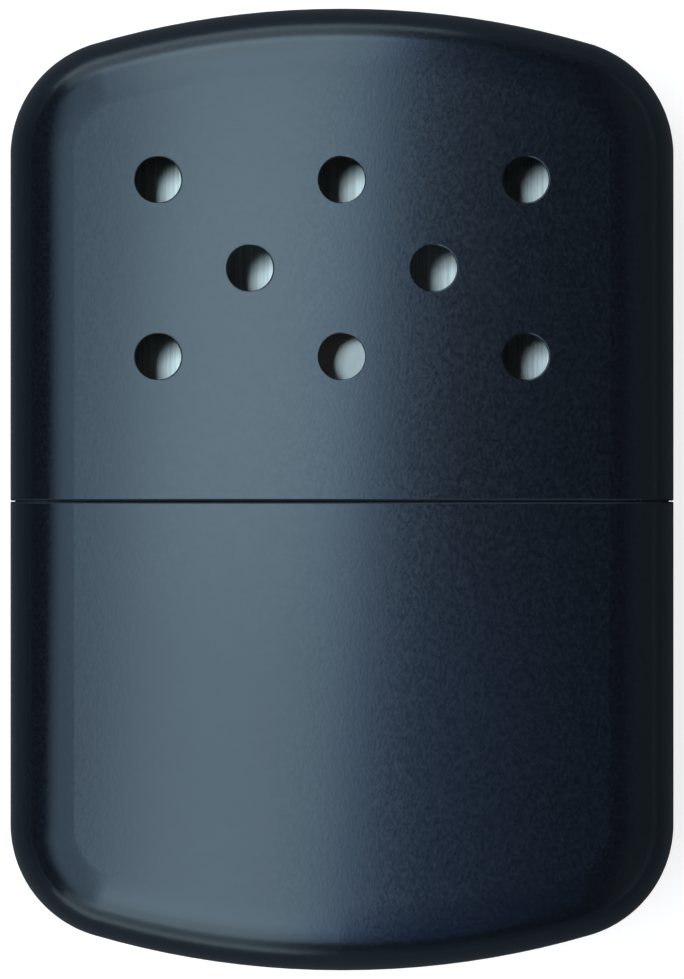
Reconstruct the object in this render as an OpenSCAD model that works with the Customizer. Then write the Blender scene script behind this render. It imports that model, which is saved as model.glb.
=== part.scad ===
// Catalytic hand warmer: a slim pocket case in two drawn shells. The lower shell is the fuel
// tank, the upper one a vented lid that slips over the tank's collar, and a burner with a
// glass-fibre catalyst mat sits on the tank's neck under the lid.
// The case lies on its back: X is its width, Y runs from the tank's foot to the lid's crown,
// Z is its thickness. Heights are counted along Y from the foot of the case.

/* [Case outline] */
// Width of the case
case_w = 68.4; // [64:0.2:74]
// Height of the case, foot to crown
case_h = 99.2; // [94:0.2:106]
// Thickness of the case, and twice the radius of its rounded edge
case_t = 13.6; // [13:0.2:15.6]
// Radius of the case's corners
corner_r = 12; // [10:0.5:13.5]
// Height of the seam between tank and lid
seam_h = 48.4; // [45:0.2:51]
// Open gap at the seam
seam_gap = 0.1; // [0.1:0.05:0.4]
// Radius of the rolled edge of both shells at the seam
rim_roll = 0.15; // [0.1:0.05:0.2]
// Sheet thickness of both shells
shell_wall = 0.4; // [0.3:0.05:0.5]

/* [Lid vents] */
// Diameter of a vent hole
vent_d = 4.7; // [4:0.1:6]
// Width of the small flare round a vent's mouth
vent_flare = 0.15; // [0.1:0.05:0.25]
// Sideways step from one vent to the next in the staggered pattern
vent_pitch_x = 9.4; // [8:0.1:10.5]
// Step from one row of vents to the next
vent_pitch_y = 9.05; // [8:0.05:10]
// Distance from the crown down to the top row of vents
vent_drop = 17.9; // [15:0.1:19]
// Vents in each row, from the top row down
vent_rows = [3, 2, 3];

/* [Collar and top plate] */
// How far the collar stands above the seam
collar_stand = 8.2; // [7:0.1:9]
// How far the collar reaches down into the tank
collar_seat = 6; // [4:0.5:8]
// Sheet thickness of the collar
collar_wall = 0.4; // [0.3:0.05:0.5]
// Slip clearance between the collar and both shells
collar_slip = 0.08; // [0.05:0.01:0.1]
// Radius of the lead-in round the collar's rim and the neck's mouth
lead_in = 0.2; // [0.1:0.05:0.25]
// Height of the lid's grip bumps above the collar's face
bump_rise = 0.05; // [0.02:0.01:0.05]
// Width of a grip bump where it leaves the collar's face
bump_w = 3; // [2:0.1:4]
// Distance of a grip bump from the middle of the collar
bump_offset = 20; // [16:0.5:23]
// Distance of a grip bump below the collar's rim
bump_drop = 4; // [3:0.1:5]
// Depth of the top plate below the collar's rim
plate_sink = 1.2; // [0.8:0.1:2]
// Sheet thickness of the top plate
plate_wall = 0.4; // [0.3:0.05:0.6]
// Brazing gap between sheet parts of the tank
braze_gap = 0.04; // [0.02:0.01:0.06]

/* [Filler neck] */
// Width of the neck
neck_w = 25; // [23:0.5:26]
// Thickness of the neck
neck_t = 7.2; // [6.6:0.1:7.4]
// Sheet thickness of the neck
neck_wall = 0.4; // [0.3:0.05:0.5]
// How far the neck stands above the top plate
neck_rise = 6; // [5:0.1:6.2]
// Width of the neck's flange under the top plate
neck_flange = 1.6; // [1:0.1:2]
// Depth of the felt wick below the neck's mouth
wick_sink = 0.8; // [0.5:0.1:1.5]
// Free space round the felt and the cotton
fill_gap = 0.15; // [0.1:0.05:0.3]

/* [Burner] */
// Slip clearance of the burner's skirt over the neck
skirt_slip = 0.08; // [0.05:0.01:0.1]
// Sheet thickness of the skirt, the housing and its grid
burner_wall = 0.35; // [0.3:0.05:0.35]
// Gap under the skirt where it stands over the top plate
skirt_foot = 0.1; // [0.05:0.05:0.3]
// How far the skirt reaches past the neck's mouth
skirt_over = 0.3; // [0.2:0.1:0.5]
// Width of the housing round the catalyst mat
housing_w = 30; // [28.5:0.5:31]
// Thickness of the housing
housing_t = 9.2; // [9.1:0.1:9.6]
// Height of the housing's top edge above the top plate
housing_rise = 13.4; // [13:0.1:13.8]
// Width of the lip turned in at the housing's top edge
housing_lip = 0.9; // [0.6:0.1:1.1]
// Width of the shelf that carries the housing
shelf_w = 33.4; // [32.4:0.2:35]
// Thickness of the shelf, front to back
shelf_t = 11; // [10.8:0.1:11.4]
// Height of the shelf's underside above the top plate
shelf_rise = 3.2; // [2.8:0.1:3.6]
// Sheet thickness of the shelf
shelf_wall = 0.5; // [0.4:0.05:0.6]
// Depth of the shelf's turned-down grip
shelf_lip = 1.4; // [1:0.1:1.8]
// Slots in the housing on each side of its middle
slots_n = 3; // [2:1:3]
// Width of a slot
slot_w = 1.6; // [1.2:0.1:1.7]
// Height of a slot
slot_h = 4.8; // [3.5:0.1:5]
// Step from slot to slot
slot_pitch = 3; // [2.9:0.1:3.1]
// Distance of the first slot from the middle
slot_first = 4.2; // [4.1:0.1:4.3]
// Diameter of the air hole under each slot
air_hole_d = 1.4; // [1:0.1:1.5]
// Width of the wide strap over the middle of the mat
strap_w = 5; // [4:0.1:5.5]
// Width of the two narrow straps
narrow_strap_w = 1.1; // [0.8:0.1:1.1]
// Sheet thickness of the straps
strap_wall = 0.3; // [0.2:0.05:0.35]
// Gap between pieces of the burner that lie on each other
lay_gap = 0.04; // [0.02:0.01:0.06]
// Diameter of a hole in the grid under the mat
grid_hole_d = 1.5; // [1.2:0.1:1.7]
// Step from hole to hole in the grid
grid_pitch = 2.4; // [2.2:0.1:2.6]

/* [Hidden] */
$fn = 96;

paint = [0.10, 0.13, 0.16];
plated_steel = [0.72, 0.73, 0.74];
burner_steel = [0.80, 0.80, 0.79];
glass_fibre = [0.24, 0.24, 0.25];
cotton_white = [0.93, 0.91, 0.86];
felt_white = [0.86, 0.83, 0.76];

// Overlap that lets a cutting tool run clear of a face
past = 1;

// Direction in which the crown's arc runs into the corner's, taken from a 7-24-25 triangle, so
// that the two arcs meet on exact coordinates
meet = [0.28, 0.96];
// The crown's two arcs span what the corners leave of the width, in steps of half a
// millimetre, and a short straight between them takes up the rest
crown_step = floor(2 * (case_w / 2 - corner_r) / meet.x) / 2 - 0.5;
crown_r = corner_r + crown_step;
crown_straight = case_w / 2 - corner_r - crown_step * meet.x;
// Centres of the arcs on the side of +X, in a frame with its origin at the middle of the case
crown_c = [crown_straight, case_h / 2 - crown_r];
corner_c = crown_c + crown_step * meet;

// Levels up the case, and the levels of the tank's top
lid_foot = seam_h + seam_gap / 2;
tank_rim = seam_h - seam_gap / 2;
collar_top = seam_h + collar_stand;
plate_top = collar_top - plate_sink;
neck_top = plate_top + neck_rise;
neck_foot = plate_top - plate_wall - neck_wall;
collar_foot = seam_h - collar_seat;
collar_in = shell_wall + collar_slip;
pan_in = collar_in + collar_wall + braze_gap;
cotton_in = shell_wall + fill_gap;
cotton_top = collar_foot - fill_gap;

// Levels and sizes of the burner
skirt_top = neck_top + skirt_over;
shelf_foot = plate_top + shelf_rise;
shelf_top = shelf_foot + shelf_wall;
housing_top = plate_top + housing_rise;
grid_foot = skirt_top + lay_gap;
grid_top = grid_foot + burner_wall;
skirt_in = neck_w + 2 * skirt_slip;
skirt_in_t = neck_t + 2 * skirt_slip;
slot_middle = (grid_top + housing_top - burner_wall) / 2;
air_hole_middle = (shelf_top + grid_foot) / 2;
strap_lift = housing_top + lay_gap;
narrow_strap_x = slot_first + (slots_n - 1.5) * slot_pitch;

// Half of a disc, on the side of +X or -X
module half_disc(r, side) {
    intersection() {
        circle(r);
        translate([side > 0 ? 0 : -2 * r, -2 * r]) square([2 * r, 4 * r]);
    }
}

// Flat-sided oval with round ends, w wide and t thick
module oval(w, t) {
    square([w - t, t], center = true);
    for (side = [-1, 1]) translate([side * (w - t) / 2, 0]) half_disc(t / 2, side);
}

// The case's cross-section, inset all round
module case_oval(inset) {
    oval(case_w - 2 * inset, case_t - 2 * inset);
}

// Stands its flat outline up along the case, between two heights
module upright(from_h, to_h) {
    translate([0, to_h - case_h / 2, case_t / 2])
        rotate([90, 0, 0]) linear_extrude(to_h - from_h) children();
}

// Oval tube with a wall that grows inwards
module oval_tube(w, t, wall, from_h, to_h) {
    upright(from_h, to_h) difference() {
        oval(w, t);
        oval(w - 2 * wall, t - 2 * wall);
    }
}

// Section of a cutter that rolls over the outer edge of a rim whose end face is at y = 0
module roll_profile(half, roll) {
    difference() {
        translate([half - roll, -roll]) square([roll + past, roll + past]);
        translate([half - roll, -roll]) circle(roll);
    }
}

// Cutter that rolls over the outer edge of an oval's rim, at the top or the foot of the piece
module rim_cutter(w, t, level, roll, at_top = true) {
    translate([0, level - case_h / 2, case_t / 2]) rotate([at_top ? -90 : 90, 0, 0]) {
        for (side = [-1, 1]) translate([side * (w - t) / 2, 0, 0]) intersection() {
            rotate_extrude() roll_profile(t / 2, roll);
            translate([side > 0 ? 0 : -2 * t, -2 * t, -2 * t]) cube([2 * t, 4 * t, 4 * t]);
        }
        for (turn = [0, 180]) rotate([0, 0, turn]) rotate([90, 0, 90])
            linear_extrude(w - t, center = true) roll_profile(t / 2, roll);
    }
}

// Section of the case from a distance out to its half-round edge
module edge_profile(from_x, to_x, inset) {
    half = case_t / 2 - inset;
    translate([from_x, inset]) square([to_x - case_t / 2 - from_x, 2 * half]);
    translate([to_x - case_t / 2, case_t / 2]) half_disc(half, 1);
}

// One arc of the outline swept as a slab with a half-round edge, and cut to its share
module edge_sector(centre, r, inset, share) {
    translate([centre.x, centre.y, 0]) intersection() {
        rotate_extrude() edge_profile(0, r, inset);
        translate([0, 0, -past]) linear_extrude(case_t + 2 * past) polygon(share);
    }
}

// The case's outer form, inset all round, from a height up over the crown
module case_end(inset, from_h) {
    upright(from_h, corner_c.y + case_h / 2) case_oval(inset);
    rotate([90, 0, 90]) linear_extrude(2 * crown_straight, center = true)
        edge_profile(corner_c.y, case_h / 2, inset);
    for (side = [0, 1]) mirror([side, 0, 0]) {
        edge_sector(crown_c, crown_r, inset,
                    concat([crown_step * meet, [0, crown_step * meet.y]],
                           2 * crown_r * [[0, 1], [0, 1] + meet, meet]));
        edge_sector(corner_c, corner_r, inset,
                    2 * corner_r * [[0, 0], meet, meet + [1, 0], [1, 0]]);
    }
}

// The same form turned over, from the foot of the case up to a height
module case_foot(inset, to_h) {
    mirror([0, 1, 0]) case_end(inset, case_h - to_h);
}

// Cutter for one vent, turned in one piece: a round hole whose edge is rolled over to the face
module vent_punch() {
    hole_r = vent_d / 2;
    translate([0, 0, case_t]) rotate_extrude() {
        translate([0, -shell_wall - past]) square([hole_r, shell_wall + 2 * past]);
        difference() {
            translate([hole_r - vent_flare, -vent_flare])
                square([2 * vent_flare, vent_flare + past]);
            translate([hole_r + vent_flare, -vent_flare]) circle(vent_flare);
        }
    }
}

// Staggered rows of vents through the front face alone
module vents() {
    for (row = [0 : len(vent_rows) - 1], column = [0 : vent_rows[row] - 1])
        translate([(2 * column - vent_rows[row] + 1) * vent_pitch_x,
                   case_h / 2 - vent_drop - row * vent_pitch_y, 0]) vent_punch();
}

// Drawn lid: closed over the crown and open at the seam
module lid_shell() {
    color(paint) difference() {
        case_end(0, lid_foot);
        case_end(shell_wall, lid_foot - past);
        rim_cutter(case_w, case_t, lid_foot, rim_roll, at_top = false);
        vents();
    }
}

// Drawn tank: the same form turned over
module tank_shell() {
    color(paint) difference() {
        case_foot(0, tank_rim);
        case_foot(shell_wall, tank_rim + past);
        rim_cutter(case_w, case_t, tank_rim, rim_roll);
    }
}

// Shallow domed bump on a flat face, part of a ball that lies mostly behind the face
module grip_bump() {
    ball_r = (bump_w * bump_w / 4 + bump_rise * bump_rise) / (2 * bump_rise);
    intersection() {
        translate([0, 0, bump_rise - ball_r]) sphere(ball_r);
        translate([-bump_w, -bump_w, -collar_wall / 2])
            cube([2 * bump_w, 2 * bump_w, collar_wall]);
    }
}

// Sleeve that joins tank and lid, with two grip bumps on each face
module collar_sleeve() {
    w = case_w - 2 * collar_in;
    t = case_t - 2 * collar_in;
    color(plated_steel) {
        difference() {
            oval_tube(w, t, collar_wall, seam_h - collar_seat, collar_top);
            rim_cutter(w, t, collar_top, lead_in);
        }
        for (side = [-1, 1], turn = [0, 180])
            translate([side * bump_offset, collar_top - bump_drop - case_h / 2, case_t / 2])
                rotate([0, turn, 0]) translate([0, 0, case_t / 2 - collar_in]) grip_bump();
    }
}

// Pan-shaped plate that closes the tank, with the neck's opening in its floor
module top_plate() {
    pan_w = case_w - 2 * pan_in;
    pan_t = case_t - 2 * pan_in;
    color(plated_steel) difference() {
        upright(plate_top - plate_wall, collar_top) oval(pan_w, pan_t);
        upright(plate_top, collar_top + past)
            oval(pan_w - 2 * plate_wall, pan_t - 2 * plate_wall);
        upright(plate_top - plate_wall - past, plate_top + past)
            oval(neck_w + 2 * braze_gap, neck_t + 2 * braze_gap);
    }
}

// Oval neck with a flange that bears on the plate from below
module filler_neck() {
    color(plated_steel) difference() {
        union() {
            upright(neck_foot, neck_top) oval(neck_w, neck_t);
            upright(neck_foot, neck_foot + neck_wall - braze_gap)
                oval(neck_w + 2 * neck_flange, neck_t + 2 * neck_flange);
        }
        upright(neck_foot - past, neck_top + past)
            oval(neck_w - 2 * neck_wall, neck_t - 2 * neck_wall);
        rim_cutter(neck_w, neck_t, neck_top, lead_in);
    }
}

// Felt in the neck, from the cotton up to just under the mouth
module neck_wick() {
    inset = neck_wall + fill_gap;
    color(felt_white) upright(neck_foot - neck_wall, neck_top - wick_sink)
        oval(neck_w - 2 * inset, neck_t - 2 * inset);
}

// Felt that covers the cotton, up to the neck's flange
module cover_felt() {
    inset = pan_in + fill_gap;
    color(felt_white) upright(cotton_top + fill_gap, neck_foot - neck_wall - fill_gap)
        case_oval(inset);
}

// Cotton wadding that fills the tank up to the collar
module cotton_wadding() {
    color(cotton_white) case_foot(cotton_in, cotton_top);
}

// Skirt that slips over the neck
module burner_skirt() {
    color(burner_steel)
        oval_tube(skirt_in + 2 * burner_wall, skirt_in_t + 2 * burner_wall, burner_wall,
                  plate_top + skirt_foot, skirt_top);
}

// Shelf round the skirt with a turned-down grip, which carries the housing
module burner_shelf() {
    opening = 2 * (burner_wall + lay_gap);
    color(burner_steel) {
        difference() {
            upright(shelf_foot, shelf_top) difference() {
                oval(shelf_w, shelf_t);
                oval(skirt_in + opening, skirt_in_t + opening);
            }
            rim_cutter(shelf_w, shelf_t, shelf_top, shelf_wall);
        }
        oval_tube(shelf_w, shelf_t, shelf_wall, shelf_foot - shelf_lip, shelf_foot);
    }
}

// Slots over the catalyst and round air holes under it, mirrored about the middle
module housing_openings() {
    for (side = [-1, 1], i = [0 : slots_n - 1])
        translate([side * (slot_first + i * slot_pitch), -case_h / 2, -past]) {
            translate([-slot_w / 2, slot_middle - slot_h / 2, 0])
                cube([slot_w, slot_h, case_t + 2 * past]);
            translate([0, air_hole_middle, 0]) cylinder(d = air_hole_d, h = case_t + 2 * past);
        }
}

// Housing round the catalyst mat, with a lip turned in at its top
module burner_housing() {
    lip_in = 2 * (burner_wall + housing_lip);
    color(burner_steel) difference() {
        upright(shelf_top + lay_gap, housing_top) oval(housing_w, housing_t);
        upright(shelf_top, housing_top - burner_wall)
            oval(housing_w - 2 * burner_wall, housing_t - 2 * burner_wall);
        upright(shelf_top, housing_top + past) oval(housing_w - lip_in, housing_t - lip_in);
        rim_cutter(housing_w, housing_t, housing_top, burner_wall);
        housing_openings();
    }
}

// Perforated plate over the skirt's mouth, on which the mat lies
module mat_grid() {
    inset = burner_wall + lay_gap;
    columns = floor((neck_w - neck_t) / grid_pitch / 2);
    color(burner_steel) difference() {
        upright(grid_foot, grid_top) oval(housing_w - 2 * inset, housing_t - 2 * inset);
        for (row = [-1, 1], column = [-columns : columns])
            translate([column * grid_pitch, grid_top + past - case_h / 2,
                       case_t / 2 + row * grid_pitch / 2])
                rotate([90, 0, 0]) cylinder(d = grid_hole_d, h = burner_wall + 2 * past);
    }
}

// Glass-fibre mat that carries the catalyst: broad under the lip, narrower through it
module catalyst_mat() {
    body_in = 2 * (burner_wall + fill_gap);
    neck_in = body_in + 2 * housing_lip;
    color(glass_fibre) {
        upright(grid_top + lay_gap, housing_top - burner_wall - lay_gap)
            oval(housing_w - body_in, housing_t - body_in);
        upright(housing_top - 2 * burner_wall, housing_top)
            oval(housing_w - neck_in, housing_t - neck_in);
    }
}

// Block from one height to another, with both of its top corners rounded
module bent_block(from_h, to_h, half_t, bend) {
    translate([from_h, -half_t]) square([to_h - bend - from_h, 2 * half_t]);
    translate([to_h - bend, bend - half_t]) square([bend, 2 * (half_t - bend)]);
    for (side = [-1, 1]) translate([to_h - bend, side * (half_t - bend)]) circle(bend);
}

// One strap: up the front of the housing, round its edge, over the mat and down the back
module strap(width, middle_x) {
    leg_in = housing_t / 2 + lay_gap;
    leg_foot = shelf_top + lay_gap;
    bend = burner_wall + lay_gap;
    color(burner_steel) translate([middle_x, -case_h / 2, case_t / 2]) rotate([90, 0, 90])
        linear_extrude(width, center = true) difference() {
            bent_block(leg_foot, strap_lift + strap_wall, leg_in + strap_wall, bend + strap_wall);
            bent_block(leg_foot - past, strap_lift, leg_in, bend);
        }
}

module middle_strap() {
    strap(strap_w, 0);
}

// A narrow strap lies between the outer slots on each side
module left_strap() {
    strap(narrow_strap_w, -narrow_strap_x);
}

module right_strap() {
    strap(narrow_strap_w, narrow_strap_x);
}

lid_shell();
tank_shell();
collar_sleeve();
top_plate();
filler_neck();
neck_wick();
cover_felt();
cotton_wadding();
burner_skirt();
burner_shelf();
burner_housing();
mat_grid();
catalyst_mat();
middle_strap();
left_strap();
right_strap();
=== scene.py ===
# %% [markdown]
# # A catalytic hand warmer, dressed for its portrait
#
# The warmer is a slim pocket case. Its lower shell is the fuel tank and its upper shell is a
# vented lid. Under the lid a small burner with a glass-fibre mat sits on the tank's neck. The
# metal parts arrive finished in shape, as one mesh for each piece, so this lesson gives them
# their surfaces, makes the soft parts that a solid can't show, and sets up the studio.

# %% Load the pieces and keep the size of the solid model
import math
import bmesh
import bpy
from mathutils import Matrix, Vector, noise


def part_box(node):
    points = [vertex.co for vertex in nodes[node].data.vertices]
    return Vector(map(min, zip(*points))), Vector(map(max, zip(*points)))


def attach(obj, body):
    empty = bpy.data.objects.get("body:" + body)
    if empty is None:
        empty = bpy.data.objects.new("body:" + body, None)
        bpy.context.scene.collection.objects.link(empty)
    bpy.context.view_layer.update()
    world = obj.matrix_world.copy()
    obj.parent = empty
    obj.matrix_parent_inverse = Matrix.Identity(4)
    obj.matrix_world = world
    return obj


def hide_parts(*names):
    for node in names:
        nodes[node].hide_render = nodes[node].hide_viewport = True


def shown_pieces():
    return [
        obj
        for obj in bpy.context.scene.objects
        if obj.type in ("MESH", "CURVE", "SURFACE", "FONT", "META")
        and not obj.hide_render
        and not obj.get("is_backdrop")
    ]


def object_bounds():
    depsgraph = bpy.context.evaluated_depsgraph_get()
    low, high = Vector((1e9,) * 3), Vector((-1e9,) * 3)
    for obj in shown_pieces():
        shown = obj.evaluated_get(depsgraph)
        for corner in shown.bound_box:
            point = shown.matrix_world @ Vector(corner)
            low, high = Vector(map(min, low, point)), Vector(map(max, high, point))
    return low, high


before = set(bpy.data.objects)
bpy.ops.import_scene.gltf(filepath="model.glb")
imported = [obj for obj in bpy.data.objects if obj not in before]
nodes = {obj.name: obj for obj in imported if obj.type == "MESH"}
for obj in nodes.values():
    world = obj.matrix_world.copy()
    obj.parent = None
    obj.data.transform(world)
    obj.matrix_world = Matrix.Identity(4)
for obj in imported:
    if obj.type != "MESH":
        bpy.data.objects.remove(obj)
solid_low, solid_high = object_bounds()
MM = 0.001
print("pieces:", ", ".join(sorted(nodes)))

# %% [markdown]
# ## A few helpers
#
# Both materials and Geometry Nodes are graphs of nodes. Wiring them by hand takes four lines a
# node, and a formula soon becomes unreadable. So one small class wraps a socket and overloads
# Python's operators, and one method adds any other node. After that `1 - mask * 0.3` builds its
# own Math nodes. Materials, Geometry Nodes, one lamp and the room are all made with it.

# %% Graphs of nodes, written as Python
class Term:
    """One socket of a graph. Arithmetic on it adds the Math nodes."""

    def __init__(self, graph, socket):
        self.graph = graph
        self.socket = socket

    def maths(self, operation, *values, clamp=False):
        settings = {"operation": operation, "use_clamp": clamp}
        return self.graph.add("ShaderNodeMath", settings, list(values))

    def __add__(self, other):
        return self.maths("ADD", self, other)

    def __radd__(self, other):
        return self.maths("ADD", other, self)

    def __sub__(self, other):
        return self.maths("SUBTRACT", self, other)

    def __rsub__(self, other):
        return self.maths("SUBTRACT", other, self)

    def __mul__(self, other):
        return self.maths("MULTIPLY", self, other)

    def __rmul__(self, other):
        return self.maths("MULTIPLY", other, self)

    def __truediv__(self, other):
        return self.maths("DIVIDE", self, other)

    def __rtruediv__(self, other):
        return self.maths("DIVIDE", other, self)

    def __pow__(self, other):
        return self.maths("POWER", self, other)

    def __abs__(self):
        return self.maths("ABSOLUTE", self)

    def clamped(self):
        return self.maths("ADD", self, 0.0, clamp=True)

    def ramp(self, start, end):
        """0 at start, 1 at end, and straight between them."""
        return ((self - start) / (end - start)).clamped()

    def parts(self):
        """The X, Y and Z of a vector."""
        node = self.graph.tree.nodes.new("ShaderNodeSeparateXYZ")
        self.graph.feed(node.inputs[0], self)
        return [Term(self.graph, output) for output in node.outputs]


class Graph:
    """A node tree with one method that adds any node."""

    def __init__(self, tree):
        self.tree = tree

    def feed(self, socket, value):
        if isinstance(value, Term):
            self.tree.links.new(value.socket, socket)
        else:
            socket.default_value = value

    def add(self, kind, settings=None, sockets=None, output=0):
        node = self.tree.nodes.new(kind)
        for name, value in (settings or {}).items():
            if name == "stops":
                set_stops(node.color_ramp.elements, value)
            else:
                setattr(node, name, value)
        feeds = sockets or {}
        pairs = feeds.items() if isinstance(feeds, dict) else enumerate(feeds)
        for key, value in pairs:
            self.feed(node.inputs[key], value)
        return Term(self, node.outputs[output])

    def between(self, mask, first, second):
        """A colour that goes from the first to the second as the mask goes from 0 to 1."""
        ends = [colour if isinstance(colour, Term) else (*colour, 1) for colour in (first, second)]
        return self.add("ShaderNodeMix", {"data_type": "RGBA"}, {
            0: mask, 6: ends[0], 7: ends[1]}, output=2)


def set_stops(elements, stops):
    """Gives a colour ramp its stops, each a place and a colour."""
    while len(elements) < len(stops):
        elements.new(1.0)
    for element, (place, colour) in zip(elements, stops):
        element.position = place
        element.color = colour


# %% A material under construction
class Finish(Graph):
    """A material whose graph ends in its Principled shader."""

    def __init__(self, name, constants):
        self.material = bpy.data.materials.new(name)
        self.material.use_nodes = True
        super().__init__(self.material.node_tree)
        self.shader = self.tree.nodes["Principled BSDF"]
        self.set(constants)
        self.place = self.add("ShaderNodeTexCoord", output="Object")

    def set(self, sockets):
        for name, value in sockets.items():
            self.feed(self.shader.inputs[name], value)

    def grain(self, size, detail=2.0, roughness=0.5, shift=(0, 0, 0)):
        """Noise with cells of a size in metres. Three sizes stretch the cells."""
        sizes = size if isinstance(size, tuple) else (size, size, size)
        mapped = self.add("ShaderNodeMapping", None, {
            "Vector": self.place, "Location": shift, "Scale": tuple(1 / s for s in sizes)})
        return self.add("ShaderNodeTexNoise", None, {
            "Vector": mapped, "Scale": 1.0, "Detail": detail, "Roughness": roughness})

    def bump(self, height, depth, under=None):
        """A relief of a depth in metres, over another relief if one is given."""
        sockets = {"Height": height, "Distance": depth, "Strength": 1.0}
        if under:
            sockets["Normal"] = under
        return self.add("ShaderNodeBump", None, sockets)


# %% A Geometry Nodes tree under construction
class Growth(Graph):
    """A Geometry Nodes tree with named inputs, each with its socket type and default."""

    def __init__(self, name, inputs):
        super().__init__(bpy.data.node_groups.new(name, "GeometryNodeTree"))
        face = self.tree.interface
        face.new_socket("Geometry", in_out="INPUT", socket_type="NodeSocketGeometry")
        face.new_socket("Geometry", in_out="OUTPUT", socket_type="NodeSocketGeometry")
        for label, (kind, value) in inputs.items():
            socket = face.new_socket(label, in_out="INPUT", socket_type="NodeSocket" + kind)
            if value is not None:
                socket.default_value = value
        self.entry = self.tree.nodes.new("NodeGroupInput")

    def given(self, label):
        return Term(self, self.entry.outputs[label])

    def end(self, geometry):
        """Realizes what was grown, gives it its material and leads it out."""
        real = self.add("GeometryNodeRealizeInstances", None, {"Geometry": geometry})
        dressed = self.add("GeometryNodeSetMaterial", None, {
            "Geometry": real, "Material": self.given("Material")})
        exit_node = self.tree.nodes.new("NodeGroupOutput")
        self.feed(exit_node.inputs[0], dressed)


def plain_mesh(piece):
    """Replaces a piece's mesh by what its modifiers make of it, and drops them."""
    depsgraph = bpy.context.evaluated_depsgraph_get()
    made = bpy.data.meshes.new_from_object(piece.evaluated_get(depsgraph), depsgraph=depsgraph)
    piece.modifiers.clear()
    piece.data = made
    return piece


def new_piece(name, mesh):
    piece = bpy.data.objects.new(name, mesh)
    bpy.context.scene.collection.objects.link(piece)
    return piece


def grown(name, growth, start_mesh, values):
    """Runs a tree on a mesh and keeps the result as a plain mesh."""
    piece = new_piece(name, start_mesh)
    modifier = piece.modifiers.new("growth", "NODES")
    modifier.node_group = growth.tree
    for item in growth.tree.interface.items_tree:
        if item.in_out == "INPUT" and item.name in values:
            modifier[item.identifier] = values[item.name]
    plain_mesh(piece)
    print(f"{name}: {len(piece.data.polygons)} faces")
    return piece


def dress(piece, finish):
    """Gives a piece one material."""
    piece.data.materials.clear()
    piece.data.materials.append(finish.material)


# %% [markdown]
# ## The camera
#
# The photograph looks straight down on the front of the case, from far enough away that the
# sides don't open up. A long lens does the same here. The case fills the frame from edge to
# edge, so the lens is worked out from the height that the frame covers at the middle of the
# case's thickness.

# %% The camera, straight above the front
FRAME_HEIGHT = 101.0 * MM
CAMERA_HEIGHT = 800 * MM
SENSOR = 36.0
NEAREST_SEEN = 10 * MM
mid_z = (solid_low.z + solid_high.z) / 2

camera = bpy.data.objects.new("camera", bpy.data.cameras.new("camera"))
bpy.context.scene.collection.objects.link(camera)
bpy.context.scene.camera = camera
camera.location = (0, 0, CAMERA_HEIGHT)
camera.data.sensor_width = SENSOR
camera.data.lens = SENSOR * (CAMERA_HEIGHT - mid_z) / FRAME_HEIGHT
camera.data.clip_start = NEAREST_SEEN
print(f"lens {camera.data.lens:.0f} mm")

# %% [markdown]
# ## The paint
#
# The case wears a satin paint, nearly black with a blue cast. Two things give it away in the
# photograph: a broad, soft reflection that fades to black in a few centimetres, and a fine
# pebbled grain that the reflection breaks up on. A metallic shader could be tuned to the same
# picture, but it would turn grey under a white sky. So this is a dark dielectric: little
# colour of its own, a bluish gloss, and all the rest left to the light. The grain is noise of
# two sizes, as a shallow relief and as small changes of gloss. Along the seam the paint is
# left dull, so that the two rolled rims read as one dark line and don't glint.

# %% Satin paint with a fine grain
PAINT_DARK = (0.0043, 0.0060, 0.0092)
PAINT_PALE = (0.0078, 0.0104, 0.0152)
PEBBLE_SIZE = (0.30 * MM, 0.45 * MM, 0.30 * MM)
PEBBLE_DEPTH = 0.0028 * MM
DUST_SIZE = 0.16 * MM
DUST_DEPTH = 0.0010 * MM
RIM_LINE = 0.19 * MM
SATIN_GLOSS = 0.80
lid_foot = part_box("lid_shell")[0].y
tank_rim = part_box("tank_shell")[1].y
seam_y = (lid_foot + tank_rim) / 2

paint = Finish("satin_paint", {
    "Specular IOR Level": 0.75,
    "Specular Tint": (0.57, 0.83, 1.0, 1.0),
})
pebbles = paint.grain(PEBBLE_SIZE, detail=1.0)
dust = paint.grain(DUST_SIZE, detail=1.0, shift=(7, 3, 1))
off_the_rim = abs(paint.place.parts()[1] - seam_y).ramp(RIM_LINE, 1.4 * RIM_LINE)
speckle = (pebbles - 0.5) * 0.13 + (dust - 0.5) * 0.10
paint.set({
    "Base Color": paint.between(pebbles.ramp(0.3, 0.7), PAINT_DARK, PAINT_PALE),
    "Roughness": 1.0 - off_the_rim * SATIN_GLOSS + speckle,
    "Normal": paint.bump(dust, DUST_DEPTH, under=paint.bump(pebbles, PEBBLE_DEPTH)),
})
for shell in ("lid_shell", "tank_shell"):
    dress(nodes[shell], paint)
print("paint on both shells")

# %% [markdown]
# ## Bare and plated steel
#
# Inside the lid the sheet is bare, and the collar, the top plate and the neck are plated. All
# of it was drawn through a die, which leaves fine lines along the stroke, here along Y. A noise
# that is stretched forty times along Y makes such lines. The plated parts get a finer set of
# lines and a faint cloudiness. Where the collar shows in the seam, its colour is painted near
# black and dull: a painted shade for the narrow gap between lid and tank.

# %% Drawn steel, bright inside the lid
STEEL_DARK = (0.46, 0.50, 0.52)
STEEL_PALE = (0.82, 0.85, 0.86)

bare_steel = Finish("bare_drawn_steel", {"Metallic": 1.0})
draw_lines = bare_steel.grain((0.22 * MM, 9 * MM, 0.22 * MM), detail=3.0)
clouds = bare_steel.grain(3 * MM, detail=2.0)
bare_steel.set({
    "Base Color": bare_steel.between(
        (draw_lines * 0.8 + clouds * 0.2).ramp(0.36, 0.64), STEEL_DARK, STEEL_PALE),
    "Roughness": 0.42 + (draw_lines - 0.5) * 0.2,
    "Normal": bare_steel.bump(draw_lines, 0.004 * MM),
})
print("bare steel for the inside of the lid")

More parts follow.
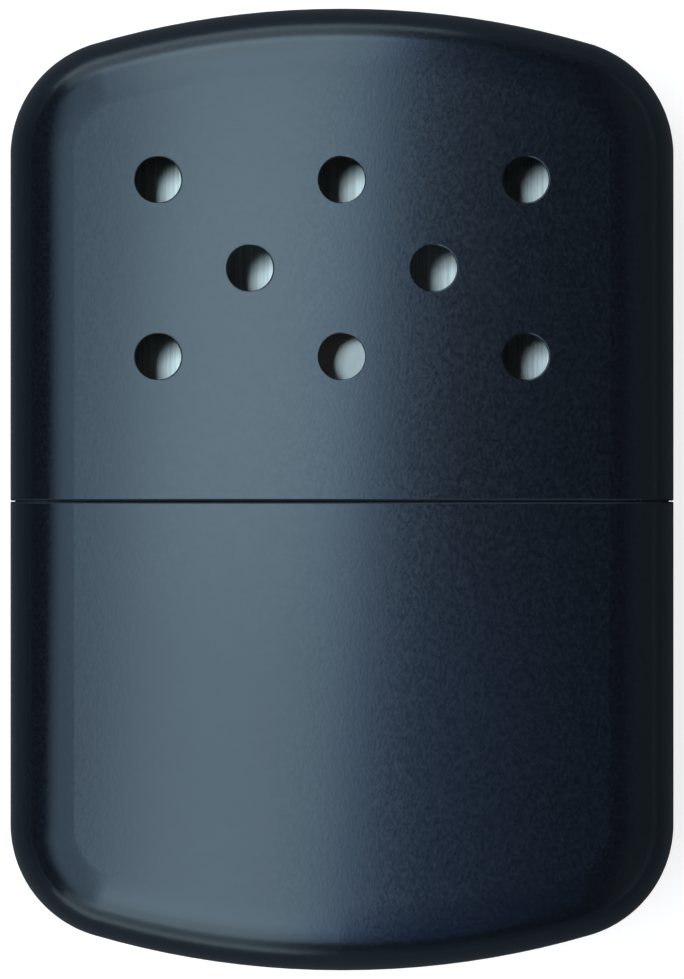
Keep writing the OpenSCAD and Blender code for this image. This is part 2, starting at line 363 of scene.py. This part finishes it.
# %% Plated steel
PLATE_WARM = (0.60, 0.58, 0.54)
PLATE_COOL = (0.74, 0.75, 0.76)
# near-black colour painted on the collar along the seam: a painted shade for the narrow gap
SEAM_SHADE = (0.015, 0.016, 0.018)
SEAM_REACH = 0.35 * MM

plated = Finish("plated_steel", {})
fine_lines = plated.grain((0.12 * MM, 5 * MM, 0.12 * MM), detail=2.0)
haze = plated.grain(2.2 * MM, detail=3.0)
from_seam = abs(plated.place.parts()[1] - seam_y)
# 0 inside the painted seam shade and 1 past it; it also takes the metal and gloss away there
past_seam_shade = from_seam.ramp(SEAM_REACH, 1.6 * SEAM_REACH)
shine = plated.between(haze.ramp(0.35, 0.65), PLATE_WARM, PLATE_COOL)
plated.set({
    "Base Color": plated.between(past_seam_shade, SEAM_SHADE, shine),
    "Metallic": past_seam_shade,
    "Roughness": 0.62 - past_seam_shade * 0.36 + (fine_lines - 0.5) * 0.12,
    "Normal": plated.bump(fine_lines, 0.002 * MM),
})
for part in ("collar_sleeve", "top_plate", "filler_neck"):
    dress(nodes[part], plated)
print(f"seam at y = {seam_y / MM:.2f} mm")

# %% [markdown]
# ## The burner's steel
#
# The burner is thin stainless sheet. It runs hot at the mat, and stainless that has been hot
# keeps its colours: straw, then brown, then a blue bloom nearest the heat. The height above
# the shelf drives a colour ramp, and noise keeps the bands from being ruled lines. The straps lie
# right on the mat, so they are duller than the rest.

# %% Heat-tinted stainless steel
burner_low, burner_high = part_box("burner_housing")


def heat_tinted(name, line_sizes, dullness):
    """Stainless steel with rolling lines of given sizes, tinted and duller towards the mat."""
    finish = Finish(name, {"Metallic": 1.0})
    height = finish.place.parts()[1].ramp(burner_low.y, burner_high.y)
    drift = finish.grain(2.5 * MM, detail=3.0)
    tint = finish.add("ShaderNodeValToRGB", {"stops": [
        (0.0, (0.55, 0.60, 0.64, 1)),
        (0.60, (0.58, 0.60, 0.60, 1)),
        (0.80, (0.60, 0.52, 0.38, 1)),
        (0.93, (0.48, 0.36, 0.28, 1)),
        (1.0, (0.34, 0.34, 0.42, 1)),
    ]}, [(height + (drift - 0.5) * 0.35).clamped()])
    rolled = finish.grain(line_sizes, detail=2.0)
    finish.set({
        "Base Color": tint,
        "Roughness": dullness + height * 0.10 + (rolled - 0.5) * 0.15,
        "Normal": finish.bump(rolled, 0.0025 * MM),
    })
    return finish


SHEET_LINES = (6 * MM, 0.10 * MM, 0.10 * MM)
STRAP_LINES = (0.12 * MM, 6 * MM, 0.12 * MM)
sheet_steel = heat_tinted("heat_tinted_sheet", SHEET_LINES, dullness=0.36)
strap_steel = heat_tinted("heat_tinted_strap", STRAP_LINES, dullness=0.55)
for part in ("burner_skirt", "burner_shelf", "burner_housing", "mat_grid"):
    dress(nodes[part], sheet_steel)
for part in ("middle_strap", "left_strap", "right_strap"):
    dress(nodes[part], strap_steel)
print("heat tint from y =", round(burner_low.y / MM, 1), "to", round(burner_high.y / MM, 1), "mm")

# %% [markdown]
# ## Felt, glass fibre and cotton
#
# The soft materials differ in colour and in how coarse they are, so one function makes all
# three. The shading only has to carry what is finer than the modelled fibres.

# %% One function for the three fibrous finishes
def fibrous(name, dark, pale, fibre_size, depth):
    """A matt tangle of fibres of a size, with a relief of a depth."""
    finish = Finish(name, {"Roughness": 0.95, "Specular IOR Level": 0.2})
    across = finish.grain((fibre_size, 9 * fibre_size, fibre_size), detail=3.0)
    along = finish.grain((9 * fibre_size, fibre_size, 4 * fibre_size), detail=3.0)
    tangle = across * 0.5 + along * 0.5
    blotch = finish.grain(30 * fibre_size, detail=2.0)
    finish.set({
        "Base Color": finish.between((tangle * 0.7 + blotch * 0.3).ramp(0.35, 0.65), dark, pale),
        "Normal": finish.bump(tangle, depth),
    })
    return finish


glass_fibre = fibrous("glass_fibre", (0.030, 0.030, 0.034), (0.17, 0.17, 0.18),
                      fibre_size=0.05 * MM, depth=0.05 * MM)
felt = fibrous("pressed_felt", (0.55, 0.51, 0.43), (0.88, 0.85, 0.78),
               fibre_size=0.04 * MM, depth=0.04 * MM)
cotton = fibrous("cotton_wadding", (0.74, 0.71, 0.64), (0.95, 0.93, 0.89),
                 fibre_size=0.08 * MM, depth=0.10 * MM)
print("fibrous finishes:", glass_fibre.material.name, felt.material.name, cotton.material.name)

# %% [markdown]
# ## The bare skin inside the lid
#
# Paint stops at the edge of the sheet, so the vents look through a dark skin on to bright
# metal. The lid is one mesh, and one mesh could be painted on one side by a mask. A separate
# skin is used instead: it is made from the lid's own inner faces, gets a little thickness,
# lies on them like the plating it stands for, and can be lit for itself.

# %% Copy the lid's inner faces
SKIN_LIFT = 0.004 * MM
SKIN_T = 0.03 * MM
SHEET_T = 0.4 * MM
WELD = 0.0005 * MM
NEAR = 0.01 * MM
FLAT_FROM = 0.999
lid_low, lid_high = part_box("lid_shell")
lid_middle = Vector((0, (lid_low.y + lid_high.y) / 2, (lid_low.z + lid_high.z) / 2))


def faces_outwards(face):
    """True for the painted side, the sheet's cut edge and the walls of the vents."""
    centre = face.calc_center_median()
    painted = face.normal.dot(centre - lid_middle) > 0
    cut_edge = centre.y < lid_low.y + NEAR
    vent_wall = centre.z > lid_high.z - SHEET_T + NEAR
    return painted or cut_edge or vent_wall


skin = bmesh.new()
skin.from_mesh(nodes["lid_shell"].data)
bmesh.ops.remove_doubles(skin, verts=skin.verts, dist=WELD)
skin.normal_update()
outside = [face for face in skin.faces if faces_outwards(face)]
bmesh.ops.delete(skin, geom=outside, context="FACES")
for vertex in skin.verts:
    vertex.co += vertex.normal * SKIN_LIFT
skin_mesh = bpy.data.meshes.new("lid_bare_skin")
skin.to_mesh(skin_mesh)
skin.free()
print("inner faces of the lid:", len(skin_mesh.polygons))

# %% The skin as a piece of its own
lid_skin = new_piece("lid_bare_skin", skin_mesh)
thicken = lid_skin.modifiers.new("thicken", "SOLIDIFY")
thicken.thickness = SKIN_T
thicken.offset = 1.0
plain_mesh(lid_skin)
for polygon in lid_skin.data.polygons:
    polygon.use_smooth = abs(polygon.normal.z) < FLAT_FROM
dress(lid_skin, bare_steel)
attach(lid_skin, "lid")
print("lid skin:", len(lid_skin.data.polygons), "faces")

# %% [markdown]
# ## The soft parts
#
# The tank is stuffed with cotton under a sheet of felt, a felt wick fills the neck, and the
# catalyst sits on a mat of glass fibre. Cloth simulation suits sewn cushions. Wadding and felt
# are packed into their place instead, so each one starts as a copy of the space it fills, is
# turned into small even cells, and is then pushed in and out by noise.

# %% Turn the space of a soft part into a lumpy pad
def pad_from(node, name, cell, lump_size, lump_depth, seed, swell=None):
    """A pad in the space of a node. Its lumps only go inwards, apart from the swell."""
    piece = new_piece(name, nodes[node].data.copy())
    weld = piece.modifiers.new("weld", "WELD")
    weld.merge_threshold = 2 * WELD
    cells = piece.modifiers.new("cells", "REMESH")
    cells.mode = "VOXEL"
    cells.voxel_size = cell
    plain_mesh(piece)
    normals = [Vector(vertex.normal) for vertex in piece.data.vertices]
    for vertex, normal in zip(piece.data.vertices, normals):
        spot = vertex.co / lump_size + Vector((seed, 0, 0))
        lump = (noise.fractal(spot, 0.6, 2.0, 3) - 1) / 2
        vertex.co += normal * (max(-1.0, min(0.0, lump)) * lump_depth)
        if swell:
            vertex.co.y += swell(vertex.co, normal)
    for polygon in piece.data.polygons:
        polygon.use_smooth = True
    print(f"{name}: {len(piece.data.polygons)} faces")
    return piece


# %% The catalyst mat swells up between its straps
MAT_SWELL = 0.55 * MM
FLAT_RIM = 0.42
strap_edges = []
for strap in ("left_strap", "middle_strap", "right_strap"):
    strap_low, strap_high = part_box(strap)
    strap_edges += [strap_low.x, strap_high.x]
mat_low, mat_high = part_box("catalyst_mat")
fields = list(zip([mat_low.x] + strap_edges[1::2], strap_edges[0::2] + [mat_high.x]))


def mat_swell(point, normal):
    """Rises between two straps, and not at the mat's rim."""
    depth = 1 - min(1, abs(point.z - mid_z) / (FLAT_RIM * (mat_high.z - mat_low.z)))
    for start, end in fields:
        if start < point.x < end and normal.y > 0.5:
            across = math.sin(math.pi * (point.x - start) / (end - start))
            return MAT_SWELL * across * min(1, 2 * depth)
    return 0


mat = pad_from("catalyst_mat", "catalyst_mat_pad", 0.22 * MM, 1.1 * MM, 0.14 * MM, 3, mat_swell)
dress(mat, glass_fibre)
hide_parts("catalyst_mat")
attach(mat, "burner")

# %% The wick, the felt sheet and the cotton
wick = pad_from("neck_wick", "neck_wick_pad", 0.22 * MM, 0.9 * MM, 0.12 * MM, 11)
dress(wick, felt)
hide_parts("neck_wick")
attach(wick, "tank")

felt_sheet = pad_from("cover_felt", "cover_felt_pad", 0.5 * MM, 2.5 * MM, 0.3 * MM, 23)
dress(felt_sheet, felt)
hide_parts("cover_felt")
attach(felt_sheet, "tank")

wadding = pad_from("cotton_wadding", "cotton_wadding_pad", 0.6 * MM, 5 * MM, 1.2 * MM, 31)
dress(wadding, cotton)
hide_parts("cotton_wadding")
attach(wadding, "tank")

# %% [markdown]
# ## Loose fibres
#
# What tells the eye that a pad is fibrous is its outline: single fibres that stand off the
# surface. There are thousands, all alike, so Geometry Nodes scatter them. Points fall on the
# pad's upper faces, each gets one bent three-sided fibre, and a fixed seed keeps every run
# the same.

# %% The tree of the fibres: what it is given, and where its points fall
fibres = Growth("loose_fibres", {
    "Per Square Metre": ("Float", 1.0e6),
    "Length": ("Float", 1.0 * MM),
    "Radius": ("Float", 0.01 * MM),
    "Bend": ("Float", 0.3),
    "Tilt": ("Float", 0.35),
    "Faces Up From": ("Float", 0.5),
    "Seed": ("Int", 1),
    "Material": ("Material", None),
})
up = fibres.add("GeometryNodeInputNormal").parts()[1]
chosen = up.maths("GREATER_THAN", up, fibres.given("Faces Up From"))
scatter = fibres.add("GeometryNodeDistributePointsOnFaces", None, {
    "Mesh": fibres.given("Geometry"), "Selection": chosen,
    "Density": fibres.given("Per Square Metre"), "Seed": fibres.given("Seed")})
turned = Term(fibres, scatter.socket.node.outputs["Rotation"])
print(f"{fibres.tree.name}: {len(fibres.tree.nodes)} nodes so far")

# %% One bent fibre, turned and sized by chance at each point
peak = fibres.add("ShaderNodeCombineXYZ", None, {"Z": fibres.given("Bend")})
arc = fibres.add("GeometryNodeCurveQuadraticBezier", None, {
    "Resolution": 4, "Start": (-0.5, 0, 0), "Middle": peak, "End": (0.5, 0.15, 0)})
thread = fibres.add("GeometryNodeCurvePrimitiveCircle", None, {
    "Resolution": 3, "Radius": fibres.given("Radius") / fibres.given("Length")})
one_fibre = fibres.add("GeometryNodeCurveToMesh", None, {
    "Curve": arc, "Profile Curve": thread, "Fill Caps": True})
lean = fibres.given("Tilt")
least = fibres.add("ShaderNodeCombineXYZ", None, {"X": 0 - lean, "Y": 0 - lean, "Z": 0.0})
most = fibres.add("ShaderNodeCombineXYZ", None, {"X": lean, "Y": lean, "Z": math.tau})
loose = fibres.add("FunctionNodeRandomValue", {"data_type": "FLOAT_VECTOR"}, {
    0: least, 1: most, "Seed": fibres.given("Seed")})
spin = fibres.add("FunctionNodeRotateRotation", {"rotation_space": "LOCAL"}, {
    "Rotation": turned, "Rotate By": fibres.add("FunctionNodeEulerToRotation", None, [loose])})
share = fibres.add("FunctionNodeRandomValue", {"data_type": "FLOAT"}, {
    2: 0.6, 3: 1.25, "Seed": fibres.given("Seed") + 1}, output=1)
fibres.end(fibres.add("GeometryNodeInstanceOnPoints", None, {
    "Points": scatter, "Instance": one_fibre, "Rotation": spin,
    "Scale": fibres.given("Length") * share}))
print(f"{fibres.tree.name}: {len(fibres.tree.nodes)} nodes")

# %% Fibres on the mat, the wick and the cotton
mat_fibres = grown("catalyst_fibres", fibres, mat.data.copy(), {
    "Per Square Metre": 9.0e6, "Length": 1.5 * MM, "Radius": 0.014 * MM, "Bend": 0.22,
    "Seed": 5, "Material": glass_fibre.material})
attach(mat_fibres, "burner")

wick_fibres = grown("wick_fibres", fibres, wick.data.copy(), {
    "Per Square Metre": 8.0e6, "Length": 0.9 * MM, "Radius": 0.012 * MM, "Bend": 0.25,
    "Seed": 8, "Material": felt.material})
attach(wick_fibres, "tank")

cotton_fibres = grown("cotton_fibres", fibres, wadding.data.copy(), {
    "Per Square Metre": 2.5e5, "Length": 1.6 * MM, "Radius": 0.015 * MM, "Bend": 0.06,
    "Tilt": 0.0, "Faces Up From": -2.0, "Seed": 13, "Material": cotton.material})
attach(cotton_fibres, "tank")

# %% [markdown]
# ## The soldered joint of the top plate
#
# The top plate is a pan that is soldered into the collar, and the solder shows as a thin wavy
# bead where the two rims meet. A bead follows a path, so this is again work for Geometry
# Nodes: the path becomes a curve, noise varies its thickness, and a circle is swept along it.

# %% The tree that lays a bead along a path
bead = Growth("solder_bead", {
    "Radius": ("Float", 0.1 * MM),
    "Ripple": ("Float", 0.3),
    "Ripple Length": ("Float", 2 * MM),
    "Material": ("Material", None),
})
path = bead.add("GeometryNodeMeshToCurve", None, [bead.given("Geometry")])
waves = bead.add("ShaderNodeTexNoise", None, {
    "Scale": 1 / bead.given("Ripple Length"), "Detail": 1.0,
    "Vector": bead.add("GeometryNodeInputPosition")})
width = bead.given("Radius") * (1 + (waves - 0.5) * 2 * bead.given("Ripple"))
profile = bead.add("GeometryNodeCurvePrimitiveCircle", None, {"Resolution": 10, "Radius": 1.0})
bead.end(bead.add("GeometryNodeCurveToMesh", None, {
    "Curve": path, "Profile Curve": profile, "Scale": width}))
print(f"{bead.tree.name}: {len(bead.tree.nodes)} nodes")


# %% The path along the pan's rim
def oval_path(name, half_w, half_t, y, step):
    """A closed line of short edges round a flat-sided oval with round ends."""
    straight = half_w - half_t
    ends = math.ceil(math.pi * half_t / step)
    sides = math.ceil(2 * straight / step)
    points = []
    for side in (1, -1):
        for i in range(ends):
            turn = math.pi * (i / ends - 0.5)
            out = straight + half_t * math.cos(turn)
            points.append((side * out, side * half_t * math.sin(turn)))
        for i in range(sides):
            points.append((side * (straight - 2 * straight * i / sides), side * half_t))
    mesh = bpy.data.meshes.new(name)
    count = len(points)
    mesh.from_pydata([(x, y, mid_z + z) for x, z in points],
                     [(i, (i + 1) % count) for i in range(count)], [])
    return mesh


BEAD_OUT = 0.02 * MM
PATH_STEP = 0.4 * MM
pan_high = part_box("top_plate")[1]
rim_path = oval_path("pan_seam", pan_high.x + BEAD_OUT, pan_high.z - mid_z + BEAD_OUT,
                     pan_high.y, PATH_STEP)
solder = grown("pan_solder", bead, rim_path, {
    "Radius": 0.13 * MM, "Ripple": 0.35, "Ripple Length": 1.6 * MM, "Material": plated.material})
for polygon in solder.data.polygons:
    polygon.use_smooth = True
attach(solder, "tank")

# %% [markdown]
# ## The studio
#
# The paint shows almost nothing of its own, so the light makes the picture. The case lies on
# paper that stays white to the eye and still takes its shadow: the paper is lit like any
# other, and only the camera and the reflections see a glow on top. That white would run round
# every rim, so a shallow tray of grey card lies about the case, where the camera can't see
# it. It is dark on the left and paler to the right, and it has walls where the rims of the
# photographed case don't mirror the white horizon.

# %% White paper that keeps the shadow
FLOOR_HALF = 3.0
PAPER_GREY = 0.5
PAPER_GLOW = 0.82


def white_to_the_eye(graph, seen, plain, output_socket):
    """Shows one shader to the camera and to mirror-like surfaces, and another to the rest."""
    rays = graph.tree.nodes.new("ShaderNodeLightPath")
    kinds = [Term(graph, rays.outputs["Is " + kind + " Ray"])
             for kind in ("Camera", "Glossy", "Transmission")]
    looked_at = (kinds[0] + kinds[1] + kinds[2]).clamped()
    graph.feed(output_socket, graph.add("ShaderNodeMixShader", None, [looked_at, plain, seen]))


stage_floor = new_piece("studio_floor", bpy.data.meshes.new("studio_floor"))
stage_floor.data.from_pydata(
    [(-FLOOR_HALF, -FLOOR_HALF, 0), (FLOOR_HALF, -FLOOR_HALF, 0),
     (FLOOR_HALF, FLOOR_HALF, 0), (-FLOOR_HALF, FLOOR_HALF, 0)], [], [(0, 1, 2, 3)])
stage_floor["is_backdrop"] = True
paper = Finish("studio_paper", {
    "Base Color": (PAPER_GREY, PAPER_GREY, PAPER_GREY, 1), "Roughness": 1.0,
    "Specular IOR Level": 0.0})
lit_paper = Term(paper, paper.shader.outputs[0])
glow = paper.add("ShaderNodeEmission", None, {"Strength": PAPER_GLOW})
both = paper.add("ShaderNodeAddShader", None, [lit_paper, glow])
white_to_the_eye(paper, both, lit_paper, paper.tree.nodes["Material Output"].inputs["Surface"])
dress(stage_floor, paper)
print("floor:", 2 * FLOOR_HALF, "m")

# %% A tray of grey card for the rims
CARD_REACH = 150 * MM
CARD_RIM = 18 * MM
CARD_Z = 0.02 * MM
CARD_DARK = (0.12, 0.14, 0.15)
CARD_LIGHT = (0.38, 0.42, 0.45)
HEAD_WALL_FROM = 25 * MM
FOOT_WALL_FROM = -7 * MM

grey_card = Finish("grey_card", {"Roughness": 1.0, "Specular IOR Level": 0.0})
card_x, card_y = grey_card.place.parts()[:2]
past_the_ends = abs(card_y).ramp(60 * MM, 100 * MM) * 0.1
to_the_right = card_x.ramp(30 * MM, CARD_REACH)
lightness = past_the_ends.maths("MAXIMUM", past_the_ends, to_the_right)
grey_card.set({"Base Color": grey_card.between(lightness, CARD_DARK, CARD_LIGHT)})

corners = [(-CARD_REACH, CARD_REACH), (-CARD_REACH, -CARD_REACH),
           (FOOT_WALL_FROM, -CARD_REACH), (CARD_REACH, -CARD_REACH),
           (CARD_REACH, CARD_REACH), (HEAD_WALL_FROM, CARD_REACH)]
count = len(corners)
walls = [(a, a + count, b + count, b) for a, b in ((0, 1), (2, 3), (3, 4), (4, 5))]
tray = new_piece("card_tray", bpy.data.meshes.new("card_tray"))
tray.data.from_pydata([(x, y, z) for z in (CARD_Z, CARD_RIM) for x, y in corners], [],
                      [(1, 2, 3, 4, 5, 0), *walls])
tray.visible_camera = False
tray.visible_shadow = False
tray.visible_diffuse = False
tray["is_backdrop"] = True
dress(tray, grey_card)
print("card tray with", len(walls), "walls")

# %% [markdown]
# ## The lamps
#
# Blender counts an area lamp in watts, so a larger lamp of the same watts looks dimmer. What
# the paint mirrors is the brightness of the lamp's face. So one function takes that
# brightness and works out the watts. A second one places a small lamp far away, by how far to
# the left and how far up it stands from straight above.


# %% Lamps by the brightness of their face
def lamp(name, place, size, brightness, turn=(0, 0, 0), colour=(1, 1, 1)):
    """An area lamp whose face shines with a brightness, where 1 is a white surface.

    Unturned it shines straight down. The turn is in degrees, about X, Y and Z.
    """
    light = bpy.data.lights.new(name, "AREA")
    light.shape = "RECTANGLE"
    light.size, light.size_y = size
    light.energy = brightness * math.pi * size[0] * size[1]
    light.color = colour
    piece = bpy.data.objects.new(name, light)
    bpy.context.scene.collection.objects.link(piece)
    piece.location = place
    piece.rotation_euler = [math.radians(angle) for angle in turn]
    piece.visible_camera = False
    return piece


COOL_WHITE = (0.78, 0.97, 1.03)


def far_lamp(name, left, up, distance, across, brightness):
    """A square lamp that shines on the case from some degrees left and up of straight above."""
    place = Vector((-math.tan(math.radians(left)), math.tan(math.radians(up)), 1)) * distance
    return lamp(name, place, (across, across), brightness, turn=(-up, -left, 0),
                colour=COOL_WHITE)


# %% [markdown]
# ## The graded soft box
#
# Over a flat satin face a plain lamp shows its own outline, and several lamps side by side
# leave a band at each edge. A photographer hangs one large diffuser and lights it unevenly
# from behind. An area lamp can do that too, because it takes nodes: `Parametric` gives the
# place on its face, and formulas give the brightness and the colour there. This one hangs
# close above the case. It has a bright strip that leans a little and fans out to both ends, a
# dimmer left side that dies away, and a faint blue glow on the right.

# %% One large lamp, and the places on its face
BOX_LEFT = -190 * MM
BOX_RIGHT = 60 * MM
BOX_LONG = 620 * MM
BOX_Z = solid_high.z + 95 * MM
BOX_END = BOX_LONG / 2

soft_box = lamp("graded_soft_box", ((BOX_LEFT + BOX_RIGHT) / 2, 0, BOX_Z),
                (BOX_RIGHT - BOX_LEFT, BOX_LONG), 1.0)
soft_box.data.use_nodes = True
gel = Graph(soft_box.data.node_tree)
share_x, share_y = gel.add("ShaderNodeNewGeometry", output="Parametric").parts()[:2]
gel_x = BOX_LEFT + share_x * (BOX_RIGHT - BOX_LEFT)
headward = (share_y - 0.5) * BOX_LONG
footward = 0 - headward
print("soft box:", round((BOX_RIGHT - BOX_LEFT) / MM), "by", round(BOX_LONG / MM), "mm")

# %% The strip that leans and fans out
STRIP_LEFT = -26.5 * MM
STRIP_RIGHT = 4 * MM
STRIP_EDGE = 4 * MM
STRIP_LEAN = 0.05
FAN_FROM = 45 * MM
FAN_REACH = 75 * MM
STRIP_LEVEL = 3.15

beyond = abs(headward) - FAN_FROM
fan = 1 + beyond.maths("MAXIMUM", beyond, 0.0) / FAN_REACH
across = (gel_x - headward * STRIP_LEAN) / fan
right_of_start = across.ramp(STRIP_LEFT, STRIP_LEFT + STRIP_EDGE)
right_of_strip = across.ramp(STRIP_RIGHT - STRIP_EDGE, STRIP_RIGHT)
head_fade = headward.ramp(100 * MM, BOX_END) * 0.25
foot_fade = footward.ramp(120 * MM, BOX_END) * 0.7
strip_level = (right_of_start - right_of_strip) * (1 - head_fade - foot_fade) * STRIP_LEVEL
print("strip:", round((STRIP_RIGHT - STRIP_LEFT) / MM, 1), "mm wide at the middle")

# %% The dimmer left side and the faint right side
SIDE_LEVEL = 1.02
SIDE_END = -130 * MM
SIDE_SPREAD = 45 * MM
SIDE_TAPER = 70 * MM
VENT_ROWS_Y = 17 * MM
VENT_BOOST = 0.2

wider = footward.ramp(0, 60 * MM) + headward.ramp(60 * MM, 140 * MM)
side_end = SIDE_END - wider * SIDE_SPREAD
side_level = (1 - right_of_start) * ((gel_x - side_end) / SIDE_TAPER).clamped() * SIDE_LEVEL
faint = (1 - across.ramp(6 * MM, 34 * MM)) * 0.03
low_glow = footward.ramp(4 * MM, 18 * MM) * (1 - across.ramp(2 * MM, 32 * MM)) * 0.13
over_vents = 1 - abs(headward - VENT_ROWS_Y).ramp(15 * MM, 40 * MM)
left_and_strip = (strip_level + side_level) * (1 + over_vents * VENT_BOOST)
level = left_and_strip + right_of_strip * (faint + low_glow)

# %% The gel's colours, and both on the lamp
LEFT_GEL = (0.93, 1.0, 1.15)
STRIP_GEL = (1.0, 1.0, 1.0)
RIGHT_GEL = (0.6, 1.0, 2.4)
strip_or_right = gel.between(right_of_strip, STRIP_GEL, RIGHT_GEL)
lamp_face = soft_box.data.node_tree.nodes["Emission"]
gel.feed(lamp_face.inputs["Strength"], level)
gel.feed(lamp_face.inputs["Color"], gel.between(right_of_start, LEFT_GEL, strip_or_right))
print("soft box:", len(gel.tree.nodes), "nodes")

# %% [markdown]
# ## The other lamps
#
# The case is rounded all the way round, and at its head and foot it mirrors what stands past
# the soft box. A tilted panel at each end carries the reflection on there. A narrow beam comes
# down through the vents at a slant and lights a patch on the back of the lid, as in the
# photograph. The burner, the collar and the neck need light from low on the left, and the
# burner's housing less of it, since it faces that way.

# %% Panels at both ends, a beam and two low lamps
head = lamp("panel_at_the_head", (-125 * MM, 330 * MM, 85 * MM), (290 * MM, 150 * MM), 0.95,
            turn=(-76, 0, 0))
foot = lamp("panel_at_the_foot", (-155 * MM, -330 * MM, 85 * MM), (260 * MM, 150 * MM), 0.75,
            turn=(76, 0, 0))
beam = far_lamp("beam_through_the_vents", left=12.8, up=6.2, distance=1500 * MM,
                across=250 * MM, brightness=30.0)
low_lamp = far_lamp("low_lamp_for_bare_metal", left=48, up=24, distance=600 * MM,
                    across=280 * MM, brightness=60.0)
dim_lamp = far_lamp("dim_lamp_for_the_housing", left=48, up=24, distance=600 * MM,
                    across=280 * MM, brightness=24.0)

# %% [markdown]
# ## Flags
#
# The soft box would burn out bare metal, and the beam for the vents would grey the paint. In a
# studio flags keep each lamp to its own surface. Light linking does the same here: the soft
# box leaves out everything that isn't painted, the end panels leave out the skin inside the
# lid, the beam lights only that skin, and the low lamps light the other bare pieces.

# %% Which lamp lights what
painted = {nodes["lid_shell"], nodes["tank_shell"]}
unpainted = [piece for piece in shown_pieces() if piece not in painted]
housing = [nodes[name] for name in ("burner_housing", "burner_shelf", "burner_skirt")]
others = [piece for piece in unpainted if piece is not lid_skin and piece not in housing]


def link_light(lamp_piece, pieces, state):
    """Makes a lamp light only some pieces (INCLUDE), or all but them (EXCLUDE)."""
    group = bpy.data.collections.new(lamp_piece.name + "_lights")
    for piece in pieces:
        group.objects.link(piece)
    for entry in group.collection_objects:
        entry.light_linking.link_state = state
    lamp_piece.light_linking.receiver_collection = group


link_light(soft_box, unpainted, "EXCLUDE")
for end_lamp in (head, foot):
    link_light(end_lamp, [lid_skin], "EXCLUDE")
link_light(beam, [lid_skin], "INCLUDE")
link_light(dim_lamp, housing, "INCLUDE")
link_light(low_lamp, others, "INCLUDE")
print(len(others), "pieces for the low lamp,", len(housing), "for the dim one")

# %% [markdown]
# ## The room
#
# Past the lamps the case mirrors the room. A white room would grey the paint, and a black one
# would draw a hard line where the paper ends. So it is white in a narrow band at the horizon
# and dark overhead, with a faint glow on the right for the rim that faces it.

# %% The room: white at the horizon, dark overhead
HORIZON_ENDS = math.sin(math.radians(2))
DARK_FROM = math.sin(math.radians(4))
OVERHEAD_LOSS = 0.99
RIGHT_GLOW = 0.11

sky = bpy.data.worlds.new("studio_room")
sky.use_nodes = True
bpy.context.scene.world = sky
room = Graph(sky.node_tree)
direction = room.add("ShaderNodeTexCoord", output="Generated").parts()
overhead = direction[2].ramp(HORIZON_ENDS, DARK_FROM)
right_glow = direction[0].ramp(0.35, 0.75) * RIGHT_GLOW
background = sky.node_tree.nodes["Background"]
room.feed(background.inputs["Strength"], 1 - overhead * (OVERHEAD_LOSS - right_glow))
room.feed(background.inputs["Color"], (1, 1, 1, 1))
print("room:", len(room.tree.nodes), "nodes")

# %% [markdown]
# ## Sizes, and the end
#
# Plain colour handling keeps the paper white. The size of the bare solids is printed.

# %% Colour handling, sizes and the end
bpy.context.scene.view_settings.view_transform = "Standard"
print("solid ", [round(v / MM, 2) for v in solid_high - solid_low])
